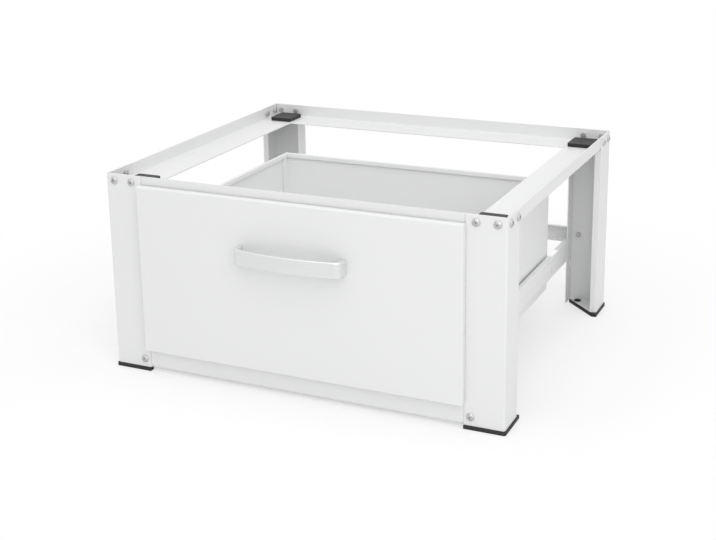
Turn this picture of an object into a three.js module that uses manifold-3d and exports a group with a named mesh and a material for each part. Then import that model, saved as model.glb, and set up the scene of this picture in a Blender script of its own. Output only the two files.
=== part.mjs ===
// A pedestal for a washing machine, with a storage drawer under the tray.
//
// Four folded sheet-steel legs stand on black corner feet and carry four mitred rails, which make
// a raised rim and a shelf with a rubber pad in each corner. A crossbar ties the front legs near
// the floor and another ties the rear legs at mid-height. The drawer is a box of folded sheet
// behind an overlaid hollow front, and it rolls on two channel runners with nylon rollers.
//
// Millimetres. X is to the right, Y to the rear and Z up, from the floor.

import * as THREE from 'three';
import { mergeVertices } from 'three/addons/utils/BufferGeometryUtils.js';
import Module from 'manifold-3d';

const wasm = await Module();
wasm.setup();

// ---------------------------------------------------------------------------------------------
// Driving dimensions
// ---------------------------------------------------------------------------------------------

// The frame, over its folded legs.
const frameWidth = 630;
const frameDepth = 540;
const frameHeight = 310;
const frameSheet = 1.5;
const bendRadius = 2;

// Clearances: seat is the gap between faces that bear on each other, and notchGap is what a
// notch leaves round the piece that passes it.
const seat = 0.3;
const notchGap = 1.5;

// Legs: the face that shows in front or behind, the side flange, the return that carries the
// runner, and the stiffening lip on the side flange.
const legFace = 61;
const legSide = 55;
const legReturn = 30;
const legLip = 11;

// Feet: a square with its inner corner cut off, and a snap peg through the leg's floor plate.
const footHeight = 5.7;
const footSize = 60;
const footLand = 7;
const footCorner = 3;
const pegInsetX = 43;
const pegInsetY = 14;
const pegRadius = 4.2;
const pegHeadRadius = 6;
const pegHeadHeight = 2.5;

// Tray rails: an L with the rim outside and the shelf inside, mitred at the corners.
const rimHeight = 20;
const shelfWidth = 59;

// Rubber pads on the shelf, under the machine's feet.
const padWidth = 40;
const padDepth = 46;
const padHeight = 6;
const padCorner = 5;
const padEdge = 0.8;
const padSideInset = 18;
const padFrontInset = 14;
const padRearInset = 10;

// Bolts that hold the rails and the crossbars to the legs, each with its nut run on.
const boltRadius = 2.5;
const boltHoleRadius = 3;
const boltHeadRadius = 6;
const boltHeadHeight = 3;
const boltTip = 1;
const nutRadius = 4.6;
const nutHeight = 4;
const boltNearInset = 14;
const boltFarInset = 44;
const boltBelowTop = 10.5;

// Crossbars: channels whose webs lap the legs.
const frontBarBottom = 5;
const frontBarHeight = 35;
const frontBarFlange = 16;
const frontBarLap = 23;
const frontBarBoltInset = 50;
const frontBarBoltHeight = 19;
const rearBarBottom = 109.5;
const rearBarHeight = 27;
const rearBarFlange = 8.5;
const rearBarLap = 24;
const rearBarBoltInset = 48;

// Runners: a channel on the legs' returns and an L on the drawer's side.
const runnerSheet = 1.2;
const runnerBend = 1.5;
const runnerBottom = 79.5;
const runnerHeight = 36;
const runnerLowerFlange = 9;
const runnerUpperFlange = 9;
const runnerEndInset = 8;
const hookWidth = 6;
const hookHeight = 6;
const hookLip = 5;
const tongueDrop = 10;
const tongueWidth = 12;
const slotWidth = 8;
const runnerVentRadius = 2;
const runnerVentPitch = 8.5;
const runnerVentBehindDrawer = -11;
const dropInLength = 40;
const stopHeight = 5;
const stopWidth = 5;
const stopEdge = 1.5;

// Rollers and the riveted pins that they turn on.
const frontRollerRadius = 10;
const rearRollerRadius = 10.5;
const rollerWidth = 6;
const rollerDish = 1;
const rollerHubRadius = 4.5;
const rollerRimWidth = 1.8;
const rollerBevel = 0.6;
const pinRadius = 2;
const pinBoreRadius = 2.4;
const pinHeadRadius = 4;
const pinHeadWidth = 1;
const frontRollerInset = 38;
const frontRollerLift = 2.3;
const rearRollerBehindDrawer = 14;
const railBehindRoller = 8;
const railDrop = 19;
const railEdgeGap = 1.1;

// The drawer.
const drawerTravel = 340;
const drawerSideGap = 12;
const drawerRearGap = 104;
const drawerTopGap = 41.5;
const drawerBottom = 54;
const drawerSheet = 1;
const drawerBend = 1;
const drawerFlange = 15;
const drawerTab = 15;
const drawerUpturn = 12;
const hemWidth = 4;
const hemDrop = 8;

// The drawer's front: a hollow pan that laps the legs.
const frontOverlap = 3;
const frontBottom = 37;
const frontTopReveal = 13;
const frontThickness = 10.7;
const frontSheet = 1.2;
const frontEdgeRadius = 2.5;
const frontSideLip = 35;
const frontEndLip = 12;

// The bow handle and its screws.
const handleLength = 173;
const handleHeight = 24;
const handleProjection = 29;
const handleBow = 6.5;
const handleBar = 6.5;
const handleFoot = 9;
const handleCorner = 16;
const handleInnerCorner = 7;
const handleBevel = 1.5;
const handleBelowFrontTop = 81;
const handleScrewRadius = 2;
const handleScrewHole = 2.4;
const handleScrewDepth = 13;
const handleScrewHeadRadius = 4;
const handleScrewHeadHeight = 2.4;

// Facets.
const bendSteps = 3;
const holeSides = 12;
const shankSides = 12;
const rollerSides = 20;

// ---------------------------------------------------------------------------------------------
// Places worked out from the driving dimensions
// ---------------------------------------------------------------------------------------------

const halfWidth = frameWidth / 2;
const halfDepth = frameDepth / 2;

const legBottom = footHeight + seat;
const legInnerX = halfWidth - legFace;
const legInsideY = halfDepth - frameSheet;

const railOuterX = halfWidth - frameSheet - seat;
const railOuterY = halfDepth - frameSheet - seat;
const shelfTop = frameHeight - rimHeight;
const shelfUnder = shelfTop - frameSheet;
const boltHeight = frameHeight - boltBelowTop;

const runnerOuterX = legInnerX - seat;
const runnerInnerX = runnerOuterX - runnerSheet;
const runnerEnd = halfDepth - runnerEndInset;
const runnerFloor = runnerBottom + runnerSheet;
const hookTop = runnerBottom + seat;

const drawerHalf = legInnerX - drawerSideGap;
const drawerInnerHalf = drawerHalf - drawerSheet;
const drawerFrontY = -halfDepth;
const drawerRearY = halfDepth - drawerRearGap;
const drawerTop = shelfUnder - drawerTopGap;

const railOnDrawerX = drawerHalf + seat;
const railOnDrawerOuterX = railOnDrawerX + runnerSheet;
const rearRollerY = drawerRearY + rearRollerBehindDrawer;
const rearRollerZ = runnerFloor + seat + rearRollerRadius;
const frontRollerY = -halfDepth + frontRollerInset;
const frontRollerZ = runnerFloor + frontRollerLift + frontRollerRadius;
const railUnder = frontRollerZ + frontRollerRadius + seat;

const frontHalf = legInnerX + frontOverlap;
const frontTop = frameHeight - frontTopReveal;
const frontRearFace = -halfDepth - seat;
const frontFace = frontRearFace - frontThickness;

const handleZ = frontTop - handleBelowFrontTop;
const handleScrewX = handleLength / 2 - handleFoot / 2;

// ---------------------------------------------------------------------------------------------
// Finishes
// ---------------------------------------------------------------------------------------------

const finishes = {
  whitePaint: { color: 0xe9e9e8, roughness: 0.45, metalness: 0.0 },
  greyPaint: { color: 0xdddddc, roughness: 0.4, metalness: 0.1 },
  satinMetal: { color: 0xd9dadb, roughness: 0.35, metalness: 0.6 },
  zinc: { color: 0xa9a89f, roughness: 0.4, metalness: 0.9 },
  rubber: { color: 0x232424, roughness: 0.85, metalness: 0.0 },
  nylon: { color: 0xf2f1ea, roughness: 0.5, metalness: 0.0 },
};

// ---------------------------------------------------------------------------------------------
// Cutting and joining
// ---------------------------------------------------------------------------------------------

function solidOf(geometry) {
  const bare = geometry.clone();
  bare.deleteAttribute('normal');
  bare.deleteAttribute('uv');
  const merged = mergeVertices(bare, 1e-4);
  return new wasm.Manifold(new wasm.Mesh({
    numProp: 3,
    vertProperties: Float32Array.from(merged.attributes.position.array),
    triVerts: Uint32Array.from(merged.index.array),
  }));
}

function geometryOf(solid) {
  const mesh = solid.getMesh();
  const geometry = new THREE.BufferGeometry();
  geometry.setAttribute('position', new THREE.BufferAttribute(mesh.vertProperties, 3));
  geometry.setIndex(new THREE.BufferAttribute(mesh.triVerts, 1));
  return geometry;
}

function join(...geometries) {
  return geometryOf(geometries.map(solidOf).reduce((whole, next) => whole.add(next)));
}

function cut(geometry, ...tools) {
  return geometryOf(tools.map(solidOf).reduce((rest, tool) => rest.subtract(tool), solidOf(geometry)));
}

// ---------------------------------------------------------------------------------------------
// Shapes
// ---------------------------------------------------------------------------------------------

// A block between two values on each axis, given in either order.
function block([x0, x1], [y0, y1], [z0, z1]) {
  const geometry = new THREE.BoxGeometry(Math.abs(x1 - x0), Math.abs(y1 - y0), Math.abs(z1 - z0));
  return geometry.translate((x0 + x1) / 2, (y0 + y1) / 2, (z0 + z1) / 2);
}

// Round rods for holes and pegs, along each axis.
function rodAlongX(radius, [x0, x1], y, z, sides = holeSides) {
  const geometry = new THREE.CylinderGeometry(radius, radius, Math.abs(x1 - x0), sides);
  return geometry.rotateZ(Math.PI / 2).translate((x0 + x1) / 2, y, z);
}

function rodAlongY(radius, x, [y0, y1], z, sides = holeSides) {
  const geometry = new THREE.CylinderGeometry(radius, radius, Math.abs(y1 - y0), sides);
  return geometry.translate(x, (y0 + y1) / 2, z);
}

function rodAlongZ(radius, x, y, [z0, z1], sides = holeSides) {
  const geometry = new THREE.CylinderGeometry(radius, radius, z1 - z0, sides);
  return geometry.rotateX(Math.PI / 2).translate(x, y, (z0 + z1) / 2);
}

// An outline drawn in two axes and extruded along the third.
function alongX(shapeInYZ, x0, x1) {
  const geometry = new THREE.ExtrudeGeometry(shapeInYZ, { depth: x1 - x0, bevelEnabled: false });
  return geometry.rotateX(Math.PI / 2).rotateZ(Math.PI / 2).translate(x0, 0, 0);
}

function alongY(shapeInXZ, y0, y1) {
  const geometry = new THREE.ExtrudeGeometry(shapeInXZ, { depth: y1 - y0, bevelEnabled: false });
  return geometry.rotateX(Math.PI / 2).translate(0, y1, 0);
}

function alongZ(shapeInXY, z0, z1) {
  const geometry = new THREE.ExtrudeGeometry(shapeInXY, { depth: z1 - z0, bevelEnabled: false });
  return geometry.translate(0, 0, z0);
}

function outline(points) {
  return new THREE.Shape(points.map(([x, y]) => new THREE.Vector2(x, y)));
}

// The section of a folded sheet: path runs along the middle of the sheet from bend to bend.
function foldedSheet(path, sheet, insideRadius) {
  const points = path.map(([x, y]) => new THREE.Vector2(x, y));
  const origin = new THREE.Vector2(0, 0);
  const radius = insideRadius + sheet / 2;
  const left = [];
  const right = [];
  const directionFrom = (i) => points[i + 1].clone().sub(points[i]).normalize();
  const leftOf = (direction) => new THREE.Vector2(-direction.y, direction.x);
  const addPair = (point, normal) => {
    left.push(point.clone().addScaledVector(normal, sheet / 2));
    right.push(point.clone().addScaledVector(normal, -sheet / 2));
  };
  addPair(points[0], leftOf(directionFrom(0)));
  for (let i = 1; i < points.length - 1; i += 1) {
    const before = directionFrom(i - 1);
    const after = directionFrom(i);
    const turn = Math.atan2(before.cross(after), before.dot(after));
    const inward = Math.sign(turn) * radius;
    const start = points[i].clone().addScaledVector(before, -radius * Math.tan(Math.abs(turn) / 2));
    const centre = start.addScaledVector(leftOf(before), inward);
    for (let step = 0; step <= bendSteps; step += 1) {
      const normal = leftOf(before).rotateAround(origin, (turn * step) / bendSteps);
      addPair(centre.clone().addScaledVector(normal, -inward), normal);
    }
  }
  addPair(points[points.length - 1], leftOf(directionFrom(points.length - 2)));
  return new THREE.Shape([...left, ...right.reverse()]);
}

// A rectangle with rounded corners.
function roundedRectangle([x0, x1], [y0, y1], radius) {
  const shape = new THREE.Shape();
  shape.moveTo(x0 + radius, y0);
  shape.absarc(x1 - radius, y0 + radius, radius, -Math.PI / 2, 0, false);
  shape.absarc(x1 - radius, y1 - radius, radius, 0, Math.PI / 2, false);
  shape.absarc(x0 + radius, y1 - radius, radius, Math.PI / 2, Math.PI, false);
  shape.absarc(x0 + radius, y0 + radius, radius, Math.PI, 1.5 * Math.PI, false);
  return shape;
}

// Points in the right rear quarter are turned into any quarter by their signs.
function inQuarter(points, side, end) {
  return points.map(([x, y]) => [side * x, end * y]);
}

// ---------------------------------------------------------------------------------------------
// Frame
// ---------------------------------------------------------------------------------------------

// A leg is one sheet: return, face, side flange and lip, with a floor plate folded in at the
// bottom. The return and the lip stop under the shelf, and the face and the side flange run on
// up outside the rim, where the rails are bolted to them. A slot in the return takes the runner's
// hook, and is tall enough to pass it before it drops.
function leg(side, end) {
  const half = frameSheet / 2;
  const path = [
    [legInnerX + half, halfDepth - legReturn],
    [legInnerX + half, halfDepth - half],
    [halfWidth - half, halfDepth - half],
    [halfWidth - half, halfDepth - legSide + half],
    [halfWidth - legLip, halfDepth - legSide + half],
  ];
  const profile = alongZ(foldedSheet(inQuarter(path, side, end), frameSheet, bendRadius),
    legBottom, frameHeight);

  const cutLine = halfWidth + halfDepth - footSize - footLand + frameSheet;
  const floorPoints = [
    [legInnerX + half, halfDepth - half],
    [halfWidth - half, halfDepth - half],
    [halfWidth - half, halfDepth - legSide + half],
    [cutLine - halfDepth + legSide - half, halfDepth - legSide + half],
    [legInnerX + half, cutLine - legInnerX - half],
  ];
  const floorPlate = alongZ(outline(inQuarter(floorPoints, side, end)),
    legBottom, legBottom + frameSheet);

  const returnX = [side * (legInnerX - notchGap), side * (legInnerX + frameSheet + bendRadius)];
  const returnY = [end * (halfDepth - legReturn - notchGap), end * (legInsideY - seat)];
  const lipX = [side * (halfWidth - legLip - notchGap), side * railOuterX];
  const lipY = [end * (halfDepth - legSide - notchGap),
    end * (halfDepth - legSide + frameSheet + bendRadius)];
  const aboveShelf = [shelfUnder - seat, frameHeight + notchGap];
  const faceThrough = [end * (halfDepth + notchGap), end * (legInsideY - notchGap)];
  const sideThrough = [side * (halfWidth + notchGap), side * (halfWidth - frameSheet - notchGap)];

  const hookY = end * (runnerEnd - tongueWidth / 2);
  const slot = [hookTop - hookHeight - seat, hookTop + hookLip + notchGap - seat];
  const tools = [
    block(returnX, returnY, aboveShelf),
    block(lipX, lipY, aboveShelf),
    rodAlongZ(pegRadius + seat, side * (halfWidth - pegInsetX), end * (halfDepth - pegInsetY),
      [legBottom - notchGap, legBottom + frameSheet + notchGap]),
    block(returnX, [hookY - slotWidth / 2, hookY + slotWidth / 2], slot),
  ];
  for (const inset of [boltNearInset, boltFarInset]) {
    tools.push(rodAlongY(boltHoleRadius, side * (halfWidth - inset), faceThrough, boltHeight));
    tools.push(rodAlongX(boltHoleRadius, sideThrough, end * (halfDepth - inset), boltHeight));
  }
  if (end < 0) {
    const barTop = frontBarBottom + frontBarHeight;
    tools.push(block(returnX, returnY, [legBottom + frameSheet, barTop + notchGap]));
    tools.push(rodAlongY(boltHoleRadius, side * (halfWidth - frontBarBoltInset), faceThrough,
      frontBarBoltHeight));
  } else {
    tools.push(rodAlongY(boltHoleRadius, side * (halfWidth - rearBarBoltInset), faceThrough,
      rearBarBottom + rearBarHeight / 2));
  }
  return cut(join(profile, floorPlate), ...tools);
}

// A foot lies under the leg's floor plate and snaps through it with a headed peg.
function foot(side, end) {
  const points = [
    [halfWidth - footSize, halfDepth],
    [halfWidth - footCorner, halfDepth],
    [halfWidth, halfDepth - footCorner],
    [halfWidth, halfDepth - footSize],
    [halfWidth - footLand, halfDepth - footSize],
    [halfWidth - footSize, halfDepth - footLand],
  ];
  const sole = alongZ(outline(inQuarter(points, side, end)), 0, footHeight);
  const pegX = side * (halfWidth - pegInsetX);
  const pegY = end * (halfDepth - pegInsetY);
  const headBottom = legBottom + frameSheet + seat;
  const peg = rodAlongZ(pegRadius, pegX, pegY, [footHeight / 2, headBottom + pegHeadHeight / 2]);
  const head = rodAlongZ(pegHeadRadius, pegX, pegY, [headBottom, headBottom + pegHeadHeight]);
  return join(sole, peg, head);
}

// A rail's section, from the shelf's inner edge to the rim's top. across is the distance from
// the frame's middle to the rim's outer face.
function railSection(across, sign) {
  const half = frameSheet / 2;
  const path = [
    [across - shelfWidth, shelfTop - half],
    [across - half, shelfTop - half],
    [across - half, frameHeight],
  ];
  return foldedSheet(path.map(([u, z]) => [sign * u, z]), frameSheet, bendRadius);
}

// The front and rear rails run between the side rails' rims, and the side rails between the
// front and rear rails' rims. The shelves meet at the corners in a mitre.
function mitreTools(sideRail) {
  const innerX = railOuterX - frameSheet;
  const innerY = railOuterY - frameSheet;
  const apex = [railOuterX - shelfWidth - notchGap, railOuterY - shelfWidth - notchGap];
  const gap = seat / 2;
  const heights = [shelfUnder - notchGap, shelfTop + bendRadius];
  const [apexX, apexY] = apex;
  const beyondX = innerX + shelfWidth;
  const beyondY = innerY + shelfWidth;
  const keepOut = sideRail
    ? [[apexX, apexY - gap], [innerX, innerY - gap], [innerX, beyondY], [apexX, beyondY]]
    : [[apexX - gap, apexY], [innerX - gap, innerY], [beyondX, innerY], [beyondX, apexY]];
  const tools = [];
  for (const side of [-1, 1]) {
    for (const end of [-1, 1]) {
      tools.push(alongZ(outline(inQuarter(keepOut, side, end)), ...heights));
    }
  }
  return tools;
}

function crossRail(end) {
  const length = railOuterX - frameSheet - seat;
  const holes = [];
  for (const side of [-1, 1]) {
    for (const inset of [boltNearInset, boltFarInset]) {
      holes.push(rodAlongY(boltHoleRadius, side * (halfWidth - inset),
        [end * (railOuterY - 2 * frameSheet), end * (railOuterY + frameSheet)], boltHeight));
    }
  }
  return cut(alongX(railSection(railOuterY, end), -length, length), ...mitreTools(false), ...holes);
}

function sideRail(side) {
  const length = railOuterY - frameSheet - seat;
  const holes = [];
  for (const end of [-1, 1]) {
    for (const inset of [boltNearInset, boltFarInset]) {
      holes.push(rodAlongX(boltHoleRadius,
        [side * (railOuterX - 2 * frameSheet), side * (railOuterX + frameSheet)],
        end * (halfDepth - inset), boltHeight));
    }
  }
  return cut(alongY(railSection(railOuterX, side), -length, length), ...mitreTools(true), ...holes);
}

// A pad is moulded rubber with rounded corners and softened edges.
function pad(side, end) {
  const inset = end < 0 ? padFrontInset : padRearInset;
  const x = side * (halfWidth - padSideInset - padWidth / 2);
  const y = end * (halfDepth - inset - padDepth / 2);
  const shape = roundedRectangle([x - padWidth / 2, x + padWidth / 2],
    [y - padDepth / 2, y + padDepth / 2], padCorner);
  const geometry = new THREE.ExtrudeGeometry(shape, {
    depth: padHeight - 2 * padEdge,
    bevelThickness: padEdge,
    bevelSize: padEdge,
    bevelOffset: -padEdge,
    bevelSegments: 1,
    curveSegments: 4,
  });
  return geometry.translate(0, 0, shelfTop + seat + padEdge);
}

// A crossbar is a channel. Its flanges stop between the legs' returns and its web laps the legs.
function crossbar({ webY, flangeY, bottom, height, lap, boltInset, boltZ }) {
  const half = frameSheet / 2;
  const path = [
    [flangeY, bottom + half],
    [webY, bottom + half],
    [webY, bottom + height - half],
    [flangeY, bottom + height - half],
  ];
  const reach = legInnerX + lap;
  const channel = alongX(foldedSheet(path, frameSheet, bendRadius), -reach, reach);
  const inward = Math.sign(flangeY - webY);
  const webInside = webY + inward * half;
  const tools = [];
  for (const side of [-1, 1]) {
    const ends = [side * (legInnerX - notchGap), side * (reach + notchGap)];
    tools.push(block(ends, [webInside, flangeY + inward * notchGap],
      [bottom - notchGap, bottom + height + notchGap]));
    tools.push(block(ends, [webY - frameSheet, webY + frameSheet],
      [bottom - notchGap, legBottom + frameSheet + seat]));
    tools.push(rodAlongY(boltHoleRadius, side * (halfWidth - boltInset),
      [webY - frameSheet, webY + frameSheet], boltZ));
  }
  return cut(channel, ...tools);
}

function frontCrossbar() {
  const webY = -(legInsideY - seat - frameSheet / 2);
  return crossbar({
    webY,
    flangeY: webY + frontBarFlange,
    bottom: frontBarBottom,
    height: frontBarHeight,
    lap: frontBarLap,
    boltInset: frontBarBoltInset,
    boltZ: frontBarBoltHeight,
  });
}

function rearCrossbar() {
  const webY = halfDepth + seat + frameSheet / 2;
  return crossbar({
    webY,
    flangeY: webY - rearBarFlange,
    bottom: rearBarBottom,
    height: rearBarHeight,
    lap: rearBarLap,
    boltInset: rearBarBoltInset,
    boltZ: rearBarBottom + rearBarHeight / 2,
  });
}

// ---------------------------------------------------------------------------------------------
// Runners and rollers
// ---------------------------------------------------------------------------------------------

// The channel that the legs carry. It hooks into a slot in each leg's return, its upper flange
// is open where the drawer's roller drops in, and a tab on its floor stops that roller.
function cabinetRunner(side) {
  const webX = runnerOuterX - runnerSheet / 2;
  const floorZ = runnerBottom + runnerSheet / 2;
  const roofZ = runnerBottom + runnerHeight - runnerSheet / 2;
  const path = [
    [runnerOuterX - runnerLowerFlange, floorZ],
    [webX, floorZ],
    [webX, roofZ],
    [runnerOuterX - runnerUpperFlange, roofZ],
  ];
  const section = foldedSheet(path.map(([x, z]) => [side * x, z]), runnerSheet, runnerBend);
  const pieces = [alongY(section, -runnerEnd, runnerEnd)];

  const web = [side * runnerInnerX, side * runnerOuterX];
  const hookBack = legInnerX + frameSheet + seat;
  for (const end of [-1, 1]) {
    const hookY = end * (runnerEnd - tongueWidth / 2);
    const hookAcross = [hookY - hookWidth / 2, hookY + hookWidth / 2];
    pieces.push(
      block(web, [hookY - tongueWidth / 2, hookY + tongueWidth / 2],
        [runnerBottom - tongueDrop, runnerFloor + runnerBend + runnerSheet]),
      block([side * runnerInnerX, side * (hookBack + runnerSheet)], hookAcross,
        [hookTop - hookHeight, hookTop]),
      block([side * hookBack, side * (hookBack + runnerSheet)], hookAcross,
        [hookTop - hookHeight - hookLip, hookTop]),
    );
  }

  const contactDrop = rearRollerRadius - stopHeight + seat;
  const contactReach = Math.sqrt(rearRollerRadius ** 2 - contactDrop ** 2);
  const stopY = rearRollerY - drawerTravel - contactReach - seat;
  const stopX = runnerInnerX - stopEdge;
  pieces.push(block([side * stopX, side * (stopX - stopWidth)], [stopY - runnerSheet, stopY],
    [floorZ, runnerFloor + stopHeight]));

  const through = [side * (runnerInnerX - runnerSheet), side * (runnerOuterX + runnerSheet)];
  const ventY = drawerRearY + runnerVentBehindDrawer;
  const ventZ = runnerBottom + runnerHeight / 2;
  const roofEdge = runnerOuterX - runnerUpperFlange - notchGap;
  const openRoof = block([side * (runnerInnerX - seat), side * roofEdge],
    [rearRollerY - dropInLength / 2, rearRollerY + dropInLength / 2],
    [roofZ - runnerSheet, roofZ + runnerSheet]);
  return cut(join(...pieces), openRoof,
    rodAlongX(pinBoreRadius, through, frontRollerY, frontRollerZ),
    rodAlongX(runnerVentRadius, through, ventY, ventZ),
    rodAlongX(runnerVentRadius, through, ventY, ventZ - runnerVentPitch));
}

// The rail on the drawer's side: an L whose upper flange rides on the front roller and whose
// rear end carries the rear roller behind the drawer's box.
function drawerRail(side) {
  const webX = railOnDrawerX + runnerSheet / 2;
  const flangeZ = railUnder + runnerSheet / 2;
  const path = [
    [webX, railUnder + runnerSheet - railDrop],
    [webX, flangeZ],
    [runnerInnerX - railEdgeGap, flangeZ],
  ];
  const section = foldedSheet(path.map(([x, z]) => [side * x, z]), runnerSheet, runnerBend);
  const rear = rearRollerY + railBehindRoller;
  const through = [side * (railOnDrawerX - runnerSheet), side * (railOnDrawerOuterX + runnerSheet)];
  return cut(alongY(section, drawerFrontY + drawerSheet, rear),
    rodAlongX(pinBoreRadius, through, rearRollerY, rearRollerZ));
}

// A nylon roller, dished on both faces between its hub and its rim. Its axis is local Z.
function roller(radius) {
  const half = rollerWidth / 2;
  const rimInner = radius - rollerRimWidth;
  const profile = [
    [pinBoreRadius, -half],
    [rollerHubRadius, -half],
    [rollerHubRadius + rollerBevel, -half + rollerDish],
    [rimInner - rollerBevel, -half + rollerDish],
    [rimInner, -half],
    [radius - rollerBevel, -half],
    [radius, -half + rollerBevel],
    [radius, half - rollerBevel],
    [radius - rollerBevel, half],
    [rimInner, half],
    [rimInner - rollerBevel, half - rollerDish],
    [rollerHubRadius + rollerBevel, half - rollerDish],
    [rollerHubRadius, half],
    [pinBoreRadius, half],
    [pinBoreRadius, -half],
  ];
  const points = profile.map(([r, z]) => new THREE.Vector2(r, z));
  return new THREE.LatheGeometry(points, rollerSides).rotateX(Math.PI / 2);
}

// A riveted pin, headed at both ends. Its shank runs along local Z from 0 to length.
function rollerPin(length) {
  const profile = [
    [0, -pinHeadWidth],
    [pinHeadRadius, -pinHeadWidth],
    [pinHeadRadius, 0],
    [pinRadius, 0],
    [pinRadius, length],
    [pinHeadRadius, length],
    [pinHeadRadius, length + pinHeadWidth],
    [0, length + pinHeadWidth],
  ];
  const points = profile.map(([r, z]) => new THREE.Vector2(r, z));
  return new THREE.LatheGeometry(points, shankSides).rotateX(Math.PI / 2);
}

// ---------------------------------------------------------------------------------------------
// Drawer
// ---------------------------------------------------------------------------------------------

// A side is folded in at the bottom to carry the floor, and hemmed over at the top.
function drawerSide(side) {
  const half = drawerSheet / 2;
  const path = [
    [drawerHalf - drawerFlange, drawerBottom + half],
    [drawerHalf - half, drawerBottom + half],
    [drawerHalf - half, drawerTop - half],
    [drawerHalf - hemWidth, drawerTop - half],
    [drawerHalf - hemWidth, drawerTop - hemDrop],
  ];
  const section = foldedSheet(path.map(([x, z]) => [side * x, z]), drawerSheet, drawerBend);
  return alongY(section, drawerFrontY, drawerRearY);
}

// An end wall stands between the sides, with a tab folded inside each and a hem along its top.
function drawerEndWall(end) {
  const half = drawerSheet / 2;
  const outerY = end < 0 ? drawerFrontY : drawerRearY;
  const wallY = outerY - end * half;
  const tabX = drawerInnerHalf - seat - half;
  const plan = [
    [-tabX, outerY - end * drawerTab],
    [-tabX, wallY],
    [tabX, wallY],
    [tabX, outerY - end * drawerTab],
  ];
  const wall = alongZ(foldedSheet(plan, drawerSheet, drawerBend),
    drawerBottom + drawerSheet + seat, drawerTop - hemDrop - seat);
  const hemPath = [
    [wallY, drawerTop - 2 * hemDrop],
    [wallY, drawerTop - half],
    [outerY - end * hemWidth, drawerTop - half],
    [outerY - end * hemWidth, drawerTop - hemDrop],
  ];
  const hemHalf = drawerHalf - hemWidth - half - seat;
  const hem = alongX(foldedSheet(hemPath, drawerSheet, drawerBend), -hemHalf, hemHalf);
  return join(wall, hem);
}

// The floor lies on the sides' flanges and turns up against the end walls.
function drawerFloor() {
  const half = drawerSheet / 2;
  const floorZ = drawerBottom + drawerSheet + seat + half;
  const frontY = drawerFrontY + drawerSheet + seat + half;
  const rearY = drawerRearY - drawerSheet - seat - half;
  const path = [
    [frontY, floorZ + drawerUpturn],
    [frontY, floorZ],
    [rearY, floorZ],
    [rearY, floorZ + drawerUpturn],
  ];
  const reach = drawerInnerHalf - drawerSheet - drawerBend - 2 * seat;
  return alongX(foldedSheet(path, drawerSheet, drawerBend), -reach, reach);
}

// The front is a hollow pan, rounded along its front edges and open behind between its lips.
function drawerFront() {
  const elevation = outline([
    [-frontHalf, frontBottom],
    [frontHalf, frontBottom],
    [frontHalf, frontTop],
    [-frontHalf, frontTop],
  ]);
  const face = new THREE.ExtrudeGeometry(elevation, {
    depth: frontThickness,
    bevelThickness: frontEdgeRadius,
    bevelSize: frontEdgeRadius,
    bevelOffset: -frontEdgeRadius,
    bevelSegments: 3,
  }).rotateX(Math.PI / 2).translate(0, frontRearFace + frontEdgeRadius, 0);
  const shell = (inset) => [
    [-frontHalf + inset, frontHalf - inset],
    [frontBottom + inset, frontTop - inset],
  ];
  const [wide, tall] = shell(-notchGap);
  const behind = block(wide, [frontRearFace, frontRearFace + 2 * frontEdgeRadius], tall);
  const [hollowX, hollowZ] = shell(frontSheet);
  const hollow = block(hollowX, [frontFace + frontSheet, frontRearFace - frontSheet], hollowZ);
  const opening = block([-frontHalf + frontSideLip, frontHalf - frontSideLip],
    [frontFace + 2 * frontSheet, frontRearFace + notchGap],
    [frontBottom + frontEndLip, frontTop - frontEndLip]);
  const holes = [-1, 1].map((side) => rodAlongY(handleScrewHole, side * handleScrewX,
    [frontFace - notchGap, frontFace + 2 * frontSheet], handleZ));
  return cut(face, behind, hollow, opening, ...holes);
}

// The handle is a flat bow, thicker in its feet, with softened edges.
function handle() {
  const base = frontFace - seat;
  const outer = frontFace - handleProjection;
  const inner = outer + handleBar;
  const shape = new THREE.Shape();
  // From the middle, one half of the bow is the other's mirror image. shoulder is where the bow
  // meets its rounded corner.
  const end = handleLength / 2;
  const outerShoulder = outer + handleBow;
  const footInside = end - handleFoot;
  const innerShoulder = inner + handleBow;
  shape.moveTo(-end, base);
  shape.lineTo(-end, outerShoulder + handleCorner);
  shape.quadraticCurveTo(-end, outerShoulder, -end + handleCorner, outerShoulder);
  shape.quadraticCurveTo(0, outer - handleBow, end - handleCorner, outerShoulder);
  shape.quadraticCurveTo(end, outerShoulder, end, outerShoulder + handleCorner);
  shape.lineTo(end, base);
  shape.lineTo(footInside, base);
  shape.lineTo(footInside, innerShoulder + handleInnerCorner);
  shape.quadraticCurveTo(footInside, innerShoulder, footInside - handleInnerCorner, innerShoulder);
  shape.quadraticCurveTo(0, inner - handleBow, -footInside + handleInnerCorner, innerShoulder);
  shape.quadraticCurveTo(-footInside, innerShoulder,
    -footInside, innerShoulder + handleInnerCorner);
  shape.lineTo(-footInside, base);
  const bow = new THREE.ExtrudeGeometry(shape, {
    depth: handleHeight - 2 * handleBevel,
    bevelThickness: handleBevel,
    bevelSize: handleBevel,
    bevelOffset: -handleBevel,
    bevelSegments: 2,
    curveSegments: 8,
  }).translate(0, 0, handleZ - handleHeight / 2 + handleBevel);
  const holes = [-1, 1].map((side) => rodAlongY(handleScrewHole, side * handleScrewX,
    [base + notchGap, base - handleScrewDepth - seat], handleZ));
  return cut(bow, ...holes);
}

// ---------------------------------------------------------------------------------------------
// Fasteners
// ---------------------------------------------------------------------------------------------

// A domed head over a plain shank. The head's underside is at local Z = 0 and it points up Z.
function headedShank(headRadius, headHeight, radius, length) {
  const profile = [
    [0, -length],
    [radius, -length],
    [radius, 0],
    [headRadius, 0],
    [headRadius, headHeight / 2],
    [headRadius * 0.7, headHeight],
    [0, headHeight],
  ];
  const points = profile.map(([r, z]) => new THREE.Vector2(r, z));
  return new THREE.LatheGeometry(points, shankSides).rotateX(Math.PI / 2);
}

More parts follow.
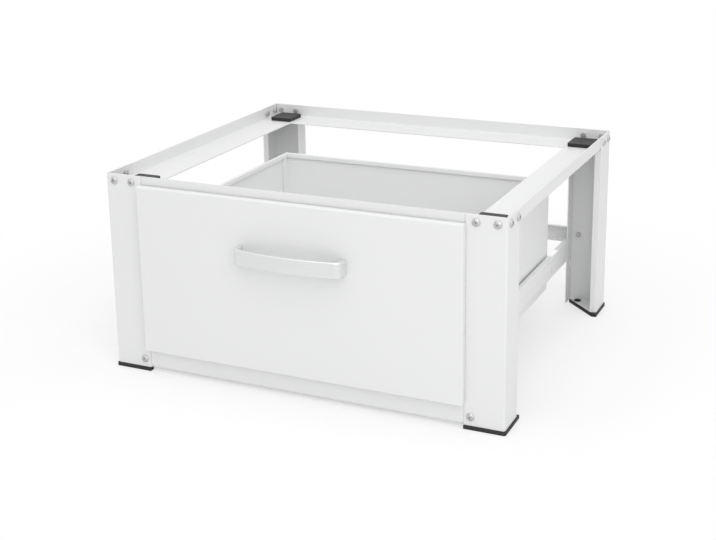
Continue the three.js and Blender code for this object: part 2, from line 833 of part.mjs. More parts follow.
// A bolt with its nut run on, through a stack of two sheets.
function boltWithNut() {
  const stack = 2 * frameSheet + 3 * seat;
  const bolt = headedShank(boltHeadRadius, boltHeadHeight, boltRadius, stack + nutHeight + boltTip);
  const nut = new THREE.CylinderGeometry(nutRadius, nutRadius, nutHeight, 6)
    .rotateX(Math.PI / 2).translate(0, 0, -stack - nutHeight / 2);
  return join(bolt, nut);
}

// ---------------------------------------------------------------------------------------------
// Assembly
// ---------------------------------------------------------------------------------------------

const sides = { left: -1, right: 1 };
const ends = { front: -1, rear: 1 };
const localAxis = new THREE.Vector3(0, 0, 1);

// The origin is on the floor under the middle of the whole part, from the handle to the heads of
// the rear bolts.
const rearmost = halfDepth + seat + frameSheet + seat + boltHeadHeight;
const frontmost = frontFace - handleProjection;
const pedestal = new THREE.Group();
pedestal.position.y = -(rearmost + frontmost) / 2;

function add(name, geometry, finish, parent = pedestal) {
  const mesh = new THREE.Mesh(geometry, new THREE.MeshStandardMaterial(finishes[finish]));
  mesh.name = name;
  parent.add(mesh);
  return mesh;
}

function addAlong(name, geometry, finish, position, outward) {
  const mesh = add(name, geometry, finish);
  mesh.position.copy(position);
  mesh.quaternion.setFromUnitVectors(localAxis, outward);
  return mesh;
}

for (const [endName, end] of Object.entries(ends)) {
  for (const [sideName, side] of Object.entries(sides)) {
    const corner = `${endName}_${sideName}`;
    add(`leg_${corner}`, leg(side, end), 'whitePaint');
    add(`foot_${corner}`, foot(side, end), 'rubber');
    add(`tray_pad_${corner}`, pad(side, end), 'rubber');
    [boltNearInset, boltFarInset].forEach((inset, index) => {
      addAlong(`face_bolt_${corner}_${index + 1}`, boltWithNut(), 'zinc',
        new THREE.Vector3(side * (halfWidth - inset), end * (halfDepth + seat), boltHeight),
        new THREE.Vector3(0, end, 0));
      addAlong(`side_bolt_${corner}_${index + 1}`, boltWithNut(), 'zinc',
        new THREE.Vector3(side * (halfWidth + seat), end * (halfDepth - inset), boltHeight),
        new THREE.Vector3(side, 0, 0));
    });
  }
  add(`tray_rail_${endName}`, crossRail(end), 'whitePaint');
}

for (const [sideName, side] of Object.entries(sides)) {
  add(`tray_rail_${sideName}`, sideRail(side), 'whitePaint');
}

add('crossbar_front', frontCrossbar(), 'whitePaint');
add('crossbar_rear', rearCrossbar(), 'whitePaint');

for (const [sideName, side] of Object.entries(sides)) {
  addAlong(`crossbar_front_bolt_${sideName}`, boltWithNut(), 'zinc',
    new THREE.Vector3(side * (halfWidth - frontBarBoltInset), -halfDepth - seat, frontBarBoltHeight),
    new THREE.Vector3(0, -1, 0));
  addAlong(`crossbar_rear_bolt_${sideName}`, boltWithNut(), 'zinc',
    new THREE.Vector3(side * (halfWidth - rearBarBoltInset), halfDepth + seat + frameSheet + seat,
      rearBarBottom + rearBarHeight / 2),
    new THREE.Vector3(0, 1, 0));
}

for (const [sideName, side] of Object.entries(sides)) {
  const outward = new THREE.Vector3(side, 0, 0);
  add(`runner_${sideName}`, cabinetRunner(side), 'greyPaint');
  add(`drawer_rail_${sideName}`, drawerRail(side), 'greyPaint');

  const frontWheelX = runnerInnerX - seat - rollerWidth / 2;
  const frontPinX = frontWheelX - rollerWidth / 2 - seat;
  addAlong(`front_roller_${sideName}`, roller(frontRollerRadius), 'nylon',
    new THREE.Vector3(side * frontWheelX, frontRollerY, frontRollerZ), outward);
  addAlong(`front_roller_pin_${sideName}`, rollerPin(runnerOuterX + seat - frontPinX), 'zinc',
    new THREE.Vector3(side * frontPinX, frontRollerY, frontRollerZ), outward);

  const rearWheelX = railOnDrawerOuterX + seat + rollerWidth / 2;
  const rearPinX = railOnDrawerX - seat;
  addAlong(`rear_roller_${sideName}`, roller(rearRollerRadius), 'nylon',
    new THREE.Vector3(side * rearWheelX, rearRollerY, rearRollerZ), outward);
  addAlong(`rear_roller_pin_${sideName}`,
    rollerPin(rearWheelX + rollerWidth / 2 + seat - rearPinX), 'zinc',
    new THREE.Vector3(side * rearPinX, rearRollerY, rearRollerZ), outward);

  add(`drawer_side_${sideName}`, drawerSide(side), 'whitePaint');
}

add('drawer_front', drawerFront(), 'whitePaint');
add('drawer_inner_front', drawerEndWall(-1), 'whitePaint');
add('drawer_back', drawerEndWall(1), 'whitePaint');
add('drawer_floor', drawerFloor(), 'whitePaint');
add('drawer_handle', handle(), 'satinMetal');

for (const [sideName, side] of Object.entries(sides)) {
  addAlong(`handle_screw_${sideName}`,
    headedShank(handleScrewHeadRadius, handleScrewHeadHeight, handleScrewRadius,
      frontSheet + 2 * seat + handleScrewDepth),
    'zinc',
    new THREE.Vector3(side * handleScrewX, frontFace + frontSheet + seat, handleZ),
    new THREE.Vector3(0, 1, 0));
}

export default pedestal;
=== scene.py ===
import math

import bmesh
import bpy
from mathutils import Matrix, Vector


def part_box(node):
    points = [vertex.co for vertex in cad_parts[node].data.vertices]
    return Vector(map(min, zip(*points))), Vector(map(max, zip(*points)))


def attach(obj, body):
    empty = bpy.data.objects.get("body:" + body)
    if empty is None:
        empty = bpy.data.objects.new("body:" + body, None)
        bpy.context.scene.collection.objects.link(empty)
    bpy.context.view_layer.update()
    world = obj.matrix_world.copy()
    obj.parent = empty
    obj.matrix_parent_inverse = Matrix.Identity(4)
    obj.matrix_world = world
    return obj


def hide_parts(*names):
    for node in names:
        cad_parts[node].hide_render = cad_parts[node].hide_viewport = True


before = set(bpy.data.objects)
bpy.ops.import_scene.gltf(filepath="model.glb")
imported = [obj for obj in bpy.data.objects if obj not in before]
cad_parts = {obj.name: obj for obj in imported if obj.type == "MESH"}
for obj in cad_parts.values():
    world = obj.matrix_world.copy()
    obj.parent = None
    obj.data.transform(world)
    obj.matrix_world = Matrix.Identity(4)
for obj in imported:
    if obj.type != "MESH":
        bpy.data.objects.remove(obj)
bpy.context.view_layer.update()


# ------------------------------------------------------------------------------------------
# Camera
# It stands to the right of the pedestal and a little above it. The view was fitted to the
# corners and fasteners that show, and its place is given from the middle of the four legs.
# ------------------------------------------------------------------------------------------

azimuth = math.radians(24.83)
elevation = math.radians(15.26)
roll = math.radians(-0.88)
aside, above, distance = -0.026, 0.2525, 2.135
sensor_width = 36
photo_width = 716
focal_pixels = 1299
axis_lift_pixels = 90

legs_low, legs_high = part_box("leg_front_left")[0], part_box("leg_rear_right")[1]
legs_middle = Vector((0, (legs_low.y + legs_high.y) / 2, 0))
backward = Vector((
    math.sin(azimuth) * math.cos(elevation),
    -math.cos(azimuth) * math.cos(elevation),
    math.sin(elevation),
))
level_right = Vector((0, 0, 1)).cross(backward).normalized()
level_up = backward.cross(level_right)
rightward = level_right * math.cos(roll) + level_up * math.sin(roll)
upward = level_up * math.cos(roll) - level_right * math.sin(roll)

camera_data = bpy.data.cameras.new("camera")
camera_data.sensor_width = sensor_width
camera_data.lens = sensor_width * focal_pixels / photo_width
camera_data.shift_y = -axis_lift_pixels / photo_width
camera = bpy.data.objects.new("camera", camera_data)
bpy.context.scene.collection.objects.link(camera)
facing = Matrix((rightward, upward, backward)).transposed()
eye = legs_middle + rightward * aside + upward * above + backward * distance
camera.matrix_world = Matrix.Translation(eye) @ facing.to_4x4()
bpy.context.scene.camera = camera


# ------------------------------------------------------------------------------------------
# Studio light
# A bright white room with one large soft lamp overhead and one in front on the right. The
# camera and glossy surfaces see the room as plain white, whatever light it gives.
# ------------------------------------------------------------------------------------------

room_light = 0.72
white = (1, 1, 1, 1)
lamp_size = 2.4


def put(tree, kind, *values, settings=None, **inputs):
    """Adds a node. settings are its own properties, values go to its inputs in order, and
    inputs by name. A socket is linked, and a node stands for its first output."""
    node = tree.nodes.new(kind)
    for setting, value in (settings or {}).items():
        setattr(node, setting, value)
    wanted = list(zip(node.inputs, values))
    wanted += [(node.inputs[name.replace("_", " ")], value) for name, value in inputs.items()]
    for socket, value in wanted:
        if isinstance(value, bpy.types.Node):
            value = value.outputs[0]
        if isinstance(value, bpy.types.NodeSocket):
            tree.links.new(value, socket)
        else:
            socket.default_value = value
    return node


def maths(tree, operation, first, second):
    """A Math node of that operation on first and second."""
    return put(tree, "ShaderNodeMath", first, second, settings={"operation": operation})


def soft_lamp(name, place, aim, watts):
    """A square softbox at place, turned to face aim."""
    data = bpy.data.lights.new(name, "AREA")
    data.size = lamp_size
    data.energy = watts
    lamp = bpy.data.objects.new(name, data)
    turn = (Vector(aim) - Vector(place)).to_track_quat("-Z", "Y")
    lamp.matrix_world = Matrix.Translation(place) @ turn.to_matrix().to_4x4()
    scene.collection.objects.link(lamp)


scene = bpy.context.scene
scene.view_settings.view_transform = "Standard"
world = bpy.data.worlds.new("studio")
scene.world = world
world.use_nodes = True
tree = world.node_tree
tree.nodes.clear()
ray = put(tree, "ShaderNodeLightPath").outputs
mirrored = maths(tree, "MAXIMUM", ray["Is Glossy Ray"], ray["Is Transmission Ray"])
seen = maths(tree, "MAXIMUM", ray["Is Camera Ray"], mirrored)
lit = put(tree, "ShaderNodeBackground", Color=white, Strength=room_light)
shown = put(tree, "ShaderNodeBackground", Color=white, Strength=1)
mixed = put(tree, "ShaderNodeMixShader", seen, lit, shown)
put(tree, "ShaderNodeOutputWorld", Surface=mixed)

soft_lamp("overhead", place=(0, -0.3, 2.6), aim=(0, 0, 0.1), watts=18)
soft_lamp("front_right", place=(1.5, -2.0, 1.9), aim=(0, 0, 0.15), watts=25)


# ------------------------------------------------------------------------------------------
# Floor
# A white studio floor that takes the pedestal's soft shadow, thinned to shadow_share for the
# camera. Away from the pedestal it turns into the white of the room, so no horizon shows.
# ------------------------------------------------------------------------------------------

floor_reach = 12
fade_start, fade_end = 0.4, 0.95
shadow_share = 0.45
floor_white = (0.93, 0.93, 0.93, 1)

floor_mesh = bpy.data.meshes.new("floor")
floor_outline = [(-floor_reach, -floor_reach, 0), (floor_reach, -floor_reach, 0),
                 (floor_reach, floor_reach, 0), (-floor_reach, floor_reach, 0)]
floor_mesh.from_pydata(floor_outline, [], [(0, 1, 2, 3)])
floor = bpy.data.objects.new("floor", floor_mesh)
scene.collection.objects.link(floor)

floor_finish = bpy.data.materials.new("floor")
floor_finish.use_nodes = True
tree = floor_finish.node_tree
tree.nodes.clear()
matt = put(tree, "ShaderNodeBsdfDiffuse", Color=floor_white)
glow = put(tree, "ShaderNodeEmission", Color=white)
ray = put(tree, "ShaderNodeLightPath").outputs
place = put(tree, "ShaderNodeTexCoord").outputs["Object"]
away = put(tree, "ShaderNodeVectorMath", place, settings={"operation": "LENGTH"})
fade = put(tree, "ShaderNodeMapRange", settings={"interpolation_type": "SMOOTHSTEP"},
           Value=away.outputs["Value"], From_Min=fade_start, From_Max=fade_end,
           To_Min=1 - shadow_share, To_Max=1)
glow_share = maths(tree, "MULTIPLY", ray["Is Camera Ray"], fade)
mixed = put(tree, "ShaderNodeMixShader", glow_share, matt, glow)
put(tree, "ShaderNodeOutputMaterial", Surface=mixed)
floor_mesh.materials.append(floor_finish)


# ------------------------------------------------------------------------------------------
# Legs
# Each leg is one folded steel sheet, powder-coated white after folding. The coat has a faint
# orange-peel ripple and rounds the sheet's cut edges.
# ------------------------------------------------------------------------------------------

weld_distance = 2e-6
flat_angle = math.radians(1)
sharp_angle = math.radians(50)
sheet_edge = 0.00025
relief_depth = 0.0002


def new_finish(name):
    """A new material, with its node tree and its shader."""
    material = bpy.data.materials.new(name)
    material.use_nodes = True
    tree = material.node_tree
    return material, tree, tree.nodes["Principled BSDF"]


def noise(tree, scale, detail):
    """Noise through the piece."""
    place = put(tree, "ShaderNodeTexCoord").outputs["Object"]
    return put(tree, "ShaderNodeTexNoise", Vector=place, Scale=scale, Detail=detail)


def colour(tree, shader, pattern, tone, other):
    """Takes the shader's colour from tone to other, as the pattern rises."""
    mix = put(tree, "ShaderNodeMix", settings={"data_type": "RGBA"},
              Factor=pattern, A=(*tone, 1), B=(*other, 1))
    tree.links.new(mix.outputs["Result"], shader.inputs["Base Color"])


def relief(tree, shader, pattern, strength):
    """Raises the pattern as a fine relief."""
    bump = put(tree, "ShaderNodeBump", Strength=strength, Distance=relief_depth, Height=pattern)
    tree.links.new(bump.outputs["Normal"], shader.inputs["Normal"])


def powder_coat(name, tone, shade, roughness):
    """Powder coat of that tone: a slow drift towards shade, and a fine ripple in the gloss."""
    material, tree, shader = new_finish(name)
    shader.inputs["Roughness"].default_value = roughness
    shader.inputs["Coat Weight"].default_value = 0.12
    shader.inputs["Coat Roughness"].default_value = 0.3
    colour(tree, shader, noise(tree, scale=4, detail=2), tone, shade)
    relief(tree, shader, noise(tree, scale=650, detail=1), strength=0.12)
    return material


def settle(piece):
    """Makes the piece's modifiers part of its mesh."""
    evaluated = piece.evaluated_get(bpy.context.evaluated_depsgraph_get())
    mesh = bpy.data.meshes.new_from_object(evaluated)
    piece.modifiers.clear()
    piece.data = mesh


def finished(name, form, material, edge, segments=2):
    """Turns form into a piece of that finish, smooth in its bends and rounded on its edges."""
    for face in form.faces:
        face.smooth = True
    mesh = bpy.data.meshes.new(name)
    form.to_mesh(mesh)
    form.free()
    mesh.materials.append(material)
    piece = bpy.data.objects.new(name, mesh)
    scene.collection.objects.link(piece)
    rounding = piece.modifiers.new("rounded edges", "BEVEL")
    rounding.width = edge
    rounding.segments = segments
    rounding.limit_method = "ANGLE"
    rounding.angle_limit = sharp_angle
    rounding.use_clamp_overlap = False
    rounding.miter_outer = "MITER_SHARP"
    flatten = piece.modifiers.new("flat panels", "WEIGHTED_NORMAL")
    flatten.keep_sharp = True
    settle(piece)
    return piece


def stands_for(piece, node, body):
    """Hides the CAD node that the piece stands for, and attaches the piece to its body."""
    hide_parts(node)
    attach(piece, body)


def painted_sheet(node, material, body, edge=sheet_edge):
    """A folded sheet in its finish: its bends are smooth and its cut edges are rounded."""
    form = bmesh.new()
    form.from_mesh(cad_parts[node].data)
    bmesh.ops.remove_doubles(form, verts=form.verts, dist=weld_distance)
    bmesh.ops.dissolve_limit(form, angle_limit=flat_angle, verts=form.verts, edges=form.edges)
    bmesh.ops.triangulate(form, faces=form.faces)
    stands_for(finished(f"{node}_painted", form, material, edge), node, body)


frame_white = powder_coat("frame_white", (0.8, 0.802, 0.805), (0.775, 0.777, 0.78), 0.42)
corners = [f"{end}_{side}" for end in ("front", "rear") for side in ("left", "right")]
for corner in corners:
    painted_sheet(f"leg_{corner}", frame_white, "frame")


# ------------------------------------------------------------------------------------------
# Feet
# Black moulded corner feet, held in the legs' floor plates by their snap pegs. The moulding is
# matt, with rounded edges, and stands a little proud of the legs' outer faces.
# ------------------------------------------------------------------------------------------

pole_weld = 1e-7
sliver_length = 1e-8
foot_thickness = 0.0057
foot_size = 0.060
foot_land = 0.007
foot_corner = 0.003
foot_corner_steps = 6
foot_proud = 0.0015
foot_softness = 0.0006
peg_inset_x, peg_inset_y = 0.043, 0.014
peg_radius = 0.0042
peg_facets = 32
barb_radius = 0.006
barb_seat = 0.0078
barb_nose = 0.0035
gloss_spread = 0.08


def gloss(tree, shader, pattern, low, high):
    """Takes the shader's roughness from low to high, as the pattern rises."""
    spread = put(tree, "ShaderNodeMapRange", Value=pattern, To_Min=low, To_Max=high)
    tree.links.new(spread.outputs["Result"], shader.inputs["Roughness"])


def moulded_rubber(name, tone, worn, roughness):
    """Matt black rubber: a dusty bloom over the base tone, and a fine grain."""
    material, tree, shader = new_finish(name)
    shader.inputs["Specular IOR Level"].default_value = 0.35
    bloom = noise(tree, scale=45, detail=4)
    colour(tree, shader, bloom, tone, worn)
    gloss(tree, shader, bloom, roughness - gloss_spread, roughness + gloss_spread)
    relief(tree, shader, noise(tree, scale=900, detail=2), strength=0.35)
    return material


def block(form, outline, bottom, top):
    """Adds a block with that outline, seen from above, between two heights."""
    base = form.faces.new([form.verts.new((x, y, bottom)) for x, y in outline])
    raised = bmesh.ops.extrude_face_region(form, geom=[base])["geom"]
    bmesh.ops.translate(form, vec=(0, 0, top - bottom),
                        verts=[item for item in raised if isinstance(item, bmesh.types.BMVert)])
    bmesh.ops.recalc_face_normals(form, faces=form.faces)


def turned(form, profile, middle, axis, facets):
    """Adds a turned form. profile pairs places along the axis, from middle, with radii."""
    across = axis.orthogonal().normalized()
    third = axis.cross(across)
    rings = []
    for step in range(facets):
        turn = 2 * math.pi * step / facets
        outward = across * math.cos(turn) + third * math.sin(turn)
        rings.append([form.verts.new(middle + axis * along + outward * radius)
                      for along, radius in profile])
    for ring, following in zip(rings, rings[1:] + rings[:1]):
        for start in range(len(profile) - 1):
            form.faces.new((ring[start], ring[start + 1],
                            following[start + 1], following[start]))
    bmesh.ops.remove_doubles(form, verts=form.verts, dist=pole_weld)
    bmesh.ops.dissolve_degenerate(form, edges=form.edges, dist=sliver_length)
    bmesh.ops.recalc_face_normals(form, faces=form.faces)


# The foot's outline, as distances inward from the outer faces of its leg.
turns = [math.pi / 2 * step / foot_corner_steps for step in range(foot_corner_steps + 1)]
rounded = [foot_corner * (1 - math.sin(turn)) - foot_proud for turn in turns]
inward = [(foot_size, -foot_proud), *zip(rounded, reversed(rounded))]
inward += [(-foot_proud, foot_size), (foot_land, foot_size), (foot_size, foot_land)]

foot_black = moulded_rubber("foot_black", (0.02, 0.02, 0.021), (0.035, 0.035, 0.036), 0.6)
signs = {"front": -1, "rear": 1, "left": -1, "right": 1}
for corner in corners:
    low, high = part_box(f"foot_{corner}")
    end, side = (signs[word] for word in corner.split("_"))
    outer_x = high.x if side > 0 else low.x
    outer_y = high.y if end > 0 else low.y
    form = bmesh.new()
    block(form, [(outer_x - side * x, outer_y - end * y) for x, y in inward], 0, foot_thickness)
    peg = Vector((outer_x - side * peg_inset_x, outer_y - end * peg_inset_y, 0))
    turned(form, [
        (foot_thickness / 2, 0), (foot_thickness / 2, peg_radius), (barb_seat, peg_radius),
        (barb_seat, barb_radius), ((barb_seat + high.z) / 2, barb_radius), (high.z, barb_nose),
        (high.z, 0),
    ], peg, Vector((0, 0, 1)), peg_facets)
    stands_for(finished(f"corner_foot_{corner}", form, foot_black, foot_softness, segments=3),
               f"foot_{corner}", "frame")


# ------------------------------------------------------------------------------------------
# Tray rails
# Four mitred steel angles: the rim stands outside and the shelf lies inside it. They are
# coated like the legs and bolted to them.
# ------------------------------------------------------------------------------------------

for rail in ("front", "rear", "left", "right"):
    painted_sheet(f"tray_rail_{rail}", frame_white, "frame")


# ------------------------------------------------------------------------------------------
# Pads
# Black rubber pads on the shelf, one in each corner, that grip the machine's feet. Each has
# rounded corners and a softened top edge.
# ------------------------------------------------------------------------------------------

pad_corner = 0.004
pad_corner_steps = 8
pad_softness = 0.0009

pad_black = moulded_rubber("pad_black", (0.014, 0.014, 0.015), (0.026, 0.026, 0.027), 0.5)
for corner in corners:
    low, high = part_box(f"tray_pad_{corner}")
    centres = [
        (high.x - pad_corner, high.y - pad_corner),
        (low.x + pad_corner, high.y - pad_corner),
        (low.x + pad_corner, low.y + pad_corner),
        (high.x - pad_corner, low.y + pad_corner),
    ]
    outline = []
    for quarter, (x, y) in enumerate(centres):
        for step in range(pad_corner_steps + 1):
            turn = math.pi / 2 * (quarter + step / pad_corner_steps)
            outline.append((x + pad_corner * math.cos(turn), y + pad_corner * math.sin(turn)))
    form = bmesh.new()
    block(form, outline, low.z, high.z)
    stands_for(finished(f"pad_{corner}", form, pad_black, pad_softness, segments=4),
               f"tray_pad_{corner}", "frame")


# ------------------------------------------------------------------------------------------
# Crossbars
# Two folded channels between the legs: one low at the front and one at mid-height behind.
# They are coated like the legs; their white is painted lighter to offset the shade they sit in.
# ------------------------------------------------------------------------------------------

# A lighter copy of the legs' white: painted light that offsets the shade on the crossbars.
bar_white_lightened = powder_coat("bar_white_lightened", (0.82, 0.822, 0.825), (0.8, 0.802, 0.805), 0.42)
for bar in ("front", "rear"):
    painted_sheet(f"crossbar_{bar}", bar_white_lightened, "frame")


# ------------------------------------------------------------------------------------------
# Bolts
# Zinc-plated pan-head bolts with a cross recess, each with a hexagon nut run on behind. Two
# hold each rail end to a leg's face, two to its side, and one holds each end of a crossbar.
# ------------------------------------------------------------------------------------------

bolt_sizes = {
    "Head radius": 0.0059,
    "Head height": 0.003,
    "Shank radius": 0.0025,
    "Shank length": 0.0089,
    "Nut radius": 0.0046,
    "Nut height": 0.004,
    "Stack height": 0.0039,
}
# Two blades cut the recess. Length and width are in head radii, and height in head heights.
blade_length, blade_width, blade_height = 1.15, 0.22, 1.1
# The cube that cuts the dome off flat under the head.
cutter_size = 0.03
# In shank lengths, a hair less than half, so that the shank's end lies inside the head.
shank_middle = -0.499


def zinc_plate():
    """Zinc plating: a warm grey metal, mottled, with a worn satin gloss."""
    material, tree, shader = new_finish("zinc")
    shader.inputs["Metallic"].default_value = 0.9
    mottle = noise(tree, scale=350, detail=3)
    colour(tree, shader, mottle, tone=(0.7, 0.7, 0.685), other=(0.46, 0.46, 0.45))
    gloss(tree, shader, mottle, low=0.3, high=0.5)
    return material


def lifted(tree, shape, height):
    """The shape, moved up by height."""
    upright = put(tree, "ShaderNodeCombineXYZ", Z=height)
    return put(tree, "GeometryNodeTransform", Geometry=shape, Translation=upright)


def bolt_head(tree, sizes):
    """A flattened dome with a cross recess, its underside at height 0."""
    dome = put(tree, "GeometryNodeMeshUVSphere", Segments=28, Rings=14,
               Radius=sizes["Head radius"])
    flatness = maths(tree, "DIVIDE", sizes["Head height"], sizes["Head radius"])
    flattened = put(tree, "ShaderNodeCombineXYZ", X=1, Y=1, Z=flatness)
    squat = put(tree, "GeometryNodeTransform", Geometry=dome, Scale=flattened)
    cutter = put(tree, "GeometryNodeMeshCube", Size=(cutter_size, cutter_size, cutter_size))
    under = put(tree, "GeometryNodeTransform", Geometry=cutter,
                Translation=(0, 0, -cutter_size / 2))
    blade_size = put(tree, "ShaderNodeCombineXYZ",
                     X=maths(tree, "MULTIPLY", sizes["Head radius"], blade_length),
                     Y=maths(tree, "MULTIPLY", sizes["Head radius"], blade_width),
                     Z=maths(tree, "MULTIPLY", sizes["Head height"], blade_height))
    blade = put(tree, "GeometryNodeMeshCube", Size=blade_size)
    along = lifted(tree, blade, sizes["Head height"])
    across = put(tree, "GeometryNodeTransform", Geometry=along, Rotation=(0, 0, math.pi / 2))
    head = put(tree, "GeometryNodeMeshBoolean", Mesh_1=squat)
    for tool in (under, along, across):
        tree.links.new(tool.outputs[0], head.inputs["Mesh 2"])
    return put(tree, "GeometryNodeSetShadeSmooth", Geometry=head, Shade_Smooth=False)


def bolt_tree():
    """Places one bolt at each point, with its head along the point's outward direction."""
    tree = bpy.data.node_groups.new("bolts", "GeometryNodeTree")
    tree.interface.new_socket("Places", in_out="INPUT", socket_type="NodeSocketGeometry")
    for size in bolt_sizes:
        tree.interface.new_socket(size, in_out="INPUT", socket_type="NodeSocketFloat")
    tree.interface.new_socket("Finish", in_out="INPUT", socket_type="NodeSocketMaterial")
    tree.interface.new_socket("Bolts", in_out="OUTPUT", socket_type="NodeSocketGeometry")
    sizes = put(tree, "NodeGroupInput").outputs

    head = bolt_head(tree, sizes)
    shank = put(tree, "GeometryNodeMeshCylinder", Vertices=16, Radius=sizes["Shank radius"],
                Depth=sizes["Shank length"])
    shank_height = maths(tree, "MULTIPLY", sizes["Shank length"], shank_middle)
    nut = put(tree, "GeometryNodeMeshCylinder", Vertices=6, Radius=sizes["Nut radius"],
              Depth=sizes["Nut height"])
    half_nut = maths(tree, "MULTIPLY", sizes["Nut height"], 0.5)
    nut_depth = maths(tree, "ADD", half_nut, sizes["Stack height"])
    nut_height = maths(tree, "MULTIPLY", nut_depth, -1)
    bolt = put(tree, "GeometryNodeJoinGeometry")
    for shape in (head, lifted(tree, shank, shank_height), lifted(tree, nut, nut_height)):
        tree.links.new(shape.outputs[0], bolt.inputs[0])

    outward = put(tree, "GeometryNodeInputNamedAttribute",
                  settings={"data_type": "FLOAT_VECTOR"}, Name="outward")
    aimed = put(tree, "FunctionNodeAlignRotationToVector", settings={"axis": "Z"},
                Vector=outward.outputs["Attribute"])
    # Inputs 2 and 3 are the least and the most of a number, and output 1 is that number.
    chance = put(tree, "FunctionNodeRandomValue", Seed=11)
    chance.inputs[3].default_value = math.pi
    spin = put(tree, "ShaderNodeCombineXYZ", Z=chance.outputs[1])
    driven = put(tree, "FunctionNodeEulerToRotation", Euler=spin)
    turn = put(tree, "FunctionNodeRotateRotation", settings={"rotation_space": "LOCAL"},
               Rotation=aimed, Rotate_By=driven)
    copies = put(tree, "GeometryNodeInstanceOnPoints", Points=sizes["Places"], Instance=bolt,
                 Rotation=turn)
    real = put(tree, "GeometryNodeRealizeInstances", Geometry=copies)
    coated = put(tree, "GeometryNodeSetMaterial", Geometry=real, Material=sizes["Finish"])
    put(tree, "NodeGroupOutput", coated)
    return tree


zinc = zinc_plate()
outwards = {
    "front": Vector((0, -1, 0)),
    "rear": Vector((0, 1, 0)),
    "left": Vector((-1, 0, 0)),
    "right": Vector((1, 0, 0)),
}
heads = {}
for corner in corners:
    end, side = corner.split("_")
    for number in (1, 2):
        heads[f"face_bolt_{corner}_{number}"] = outwards[end]
        heads[f"side_bolt_{corner}_{number}"] = outwards[side]
    heads[f"crossbar_{end}_bolt_{side}"] = outwards[end]
seats = []
for node, outward in heads.items():
    low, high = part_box(node)
    reach = abs(((high - low) / 2).dot(outward)) - bolt_sizes["Head height"]
    seats.append((low + high) / 2 + outward * reach)

places = bpy.data.meshes.new("frame_bolts")
places.from_pydata(seats, [], [])
stored = places.attributes.new("outward", "FLOAT_VECTOR", "POINT")
stored.data.foreach_set("vector", [value for outward in heads.values() for value in outward])
bolts = bpy.data.objects.new("frame_bolts", places)
scene.collection.objects.link(bolts)
modifier = bolts.modifiers.new("bolts", "NODES")
modifier.node_group = bolt_tree()
identifiers = {item.name: item.identifier for item in modifier.node_group.interface.items_tree}
for size, value in bolt_sizes.items():
    modifier[identifiers[size]] = value
modifier[identifiers["Finish"]] = zinc
settle(bolts)
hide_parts(*heads)
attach(bolts, "frame")


# ------------------------------------------------------------------------------------------
# Runners
# Thin channels that hook into the legs' slots, and the angle rails spot-welded to the drawer's
# sides. Both are pressed from coated strip, their white painted lighter to offset their shade.
# ------------------------------------------------------------------------------------------

strip_edge = 0.0002

# Lighter than the legs' white: painted light that offsets the shade the runners sit in.
runner_lightened = powder_coat("runner_lightened", (0.87, 0.872, 0.875), (0.84, 0.842, 0.845), 0.36)
for side in ("left", "right"):
    painted_sheet(f"runner_{side}", runner_lightened, "frame", strip_edge)
    painted_sheet(f"drawer_rail_{side}", runner_lightened, "drawer", strip_edge)


# ------------------------------------------------------------------------------------------
# Rollers
# Natural nylon wheels, dished between hub and rim, that turn on riveted steel pins. The front
# pair turns on the runners and the rear pair on the drawer's rails.
# ------------------------------------------------------------------------------------------

bore_radius = 0.0024
hub_radius = 0.0045
rim_width = 0.0018
dish_depth = 0.001
wheel_softness = 0.0004
wheel_facets = 64
pin_radius = 0.002
rivet_thickness = 0.001
rivet_dome = 0.0007
rivet_steps = 6
rivet_softness = 0.0001
pin_facets = 32


def natural_nylon():
    """Unpainted nylon: warm white, slightly translucent, with a waxy gloss."""
    material, tree, shader = new_finish("nylon")
    shader.inputs["Subsurface Weight"].default_value = 0.15
    shader.inputs["Subsurface Scale"].default_value = 0.002
    cloud = noise(tree, scale=160, detail=2)
    colour(tree, shader, cloud, tone=(0.86, 0.85, 0.81), other=(0.80, 0.79, 0.74))
    gloss(tree, shader, cloud, low=0.35, high=0.5)
    return material


nylon = natural_nylon()
axle = Vector((1, 0, 0))
wheel_bodies = {"front": "front_wheel", "rear": "rear_wheel"}
pin_bodies = {"front": "frame", "rear": "drawer"}
for corner in corners:
    end, side = corner.split("_")
    low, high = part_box(f"{end}_roller_{side}")
    half, radius = (high.x - low.x) / 2, (high.z - low.z) / 2
    dish = half - dish_depth
    face = [
        (half, bore_radius),
        (half, hub_radius),
        (dish, hub_radius + dish_depth / 2),
        (dish, radius - rim_width - dish_depth / 2),
        (half, radius - rim_width),
        (half, radius),
    ]
    profile = face + [(-along, out) for along, out in reversed(face)] + [face[0]]
    form = bmesh.new()
    turned(form, profile, (low + high) / 2, axle, wheel_facets)
    stands_for(finished(f"{end}_wheel_{side}", form, nylon, wheel_softness, segments=3),
               f"{end}_roller_{side}", f"{wheel_bodies[end]}_{side}")

    low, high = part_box(f"{end}_roller_pin_{side}")
    half, radius = (high.x - low.x) / 2, (high.z - low.z) / 2
    turns = [math.pi / 2 * step / rivet_steps for step in range(rivet_steps, -1, -1)]
    head = [(half - rivet_thickness, pin_radius), (half - rivet_thickness, radius)]
    head += [(half - rivet_dome * (1 - math.cos(turn)), radius * math.sin(turn))
             for turn in turns]
    form = bmesh.new()
    turned(form, [(-along, out) for along, out in reversed(head)] + head,
           (low + high) / 2, axle, pin_facets)
    stands_for(finished(f"{end}_rivet_{side}", form, zinc, rivet_softness),
               f"{end}_roller_pin_{side}", pin_bodies[end])


# ------------------------------------------------------------------------------------------
# Drawer box
# Two sides, an inner front, a back and a floor of thin coated sheet, hemmed over along the top
# and spot-welded through their tabs.
# ------------------------------------------------------------------------------------------

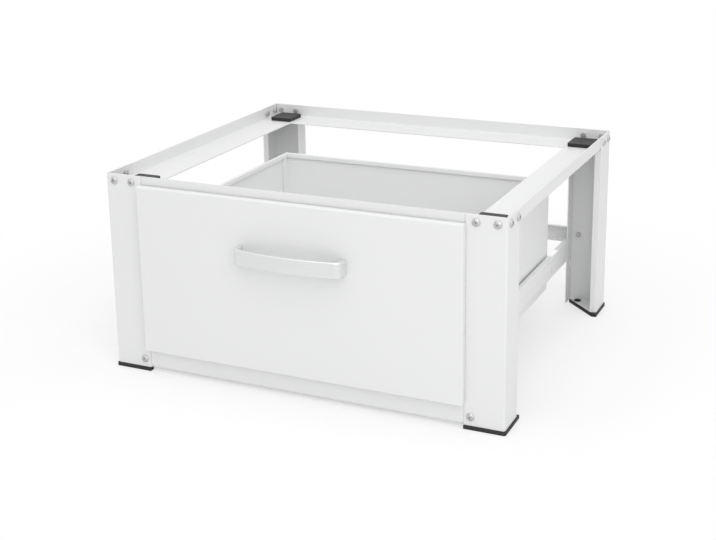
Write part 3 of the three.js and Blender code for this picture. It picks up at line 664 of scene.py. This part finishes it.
# Lighter than the legs' white: painted light that offsets the shade inside the drawer.
box_white_lightened = powder_coat("box_white_lightened", (0.865, 0.867, 0.87), (0.845, 0.847, 0.85), 0.42)
for wall in ("drawer_side_left", "drawer_side_right", "drawer_inner_front", "drawer_back",
             "drawer_floor"):
    painted_sheet(wall, box_white_lightened, "drawer", strip_edge)


# ------------------------------------------------------------------------------------------
# Drawer front
# A hollow pan pressed from one sheet, rounded along its front edges and folded in behind. It
# laps the legs and is coated like them.
# ------------------------------------------------------------------------------------------

pan_edge = 0.0003

front_white = powder_coat("front_white", (0.8, 0.802, 0.805), (0.78, 0.782, 0.785), 0.4)
painted_sheet("drawer_front", front_white, "drawer", pan_edge)


# ------------------------------------------------------------------------------------------
# Handle
# A bow of satin metal, bent from flat bar with thicker feet, held from behind by a screw in
# each foot.
# ------------------------------------------------------------------------------------------

bar_thickness = 0.0065
bow_depth = 0.0065
bow_steps = 32
handle_foot = 0.009
outer_corner = 0.016
inner_corner = 0.007
corner_steps = 12
handle_softness = 0.0022
screw_edge = 0.0002


def satin_metal():
    """Brushed metal under a clear satin lacquer, with the brush marks along the bar."""
    material, tree, shader = new_finish("satin_metal")
    shader.inputs["Metallic"].default_value = 0.55
    shader.inputs["Coat Weight"].default_value = 0.3
    shader.inputs["Coat Roughness"].default_value = 0.2
    place = put(tree, "ShaderNodeTexCoord").outputs["Object"]
    stretched = put(tree, "ShaderNodeMapping", Vector=place, Scale=(30, 900, 900))
    brush = put(tree, "ShaderNodeTexNoise", Vector=stretched, Scale=1, Detail=3)
    colour(tree, shader, brush, tone=(0.76, 0.765, 0.77), other=(0.70, 0.705, 0.71))
    gloss(tree, shader, brush, low=0.28, high=0.42)
    return material


def bent(start, control, end, steps):
    """The points of a smooth bend from start to end, without start itself."""
    return [start * (1 - t) ** 2 + control * 2 * t * (1 - t) + end * t ** 2
            for t in (step / steps for step in range(1, steps + 1))]


def half_bow(foot_x, back_y, front_y, corner):
    """A face of the bar, from its right foot round the corner and along the bow to the middle."""
    shoulder = front_y + bow_depth
    face = [Vector((foot_x, back_y)), Vector((foot_x, shoulder + corner))]
    face += bent(face[-1], Vector((foot_x, shoulder)), Vector((foot_x - corner, shoulder)),
                 corner_steps)
    face += bent(face[-1], Vector((0, front_y - bow_depth)),
                 Vector((corner - foot_x, shoulder)), bow_steps)[:bow_steps // 2]
    return face


low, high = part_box("drawer_handle")
outer_face = half_bow(high.x, high.y, low.y, outer_corner)
inner_face = half_bow(high.x - handle_foot, high.y, low.y + bar_thickness, inner_corner)
right_half = list(reversed(inner_face)) + outer_face
left_half = [Vector((-point.x, point.y)) for point in reversed(right_half)][1:-1]

handle_metal = satin_metal()
form = bmesh.new()
block(form, right_half + left_half, low.z, high.z)
stands_for(finished("bow_handle", form, handle_metal, handle_softness, segments=5),
           "drawer_handle", "drawer")
for side in ("left", "right"):
    painted_sheet(f"handle_screw_{side}", zinc, "drawer", screw_edge)
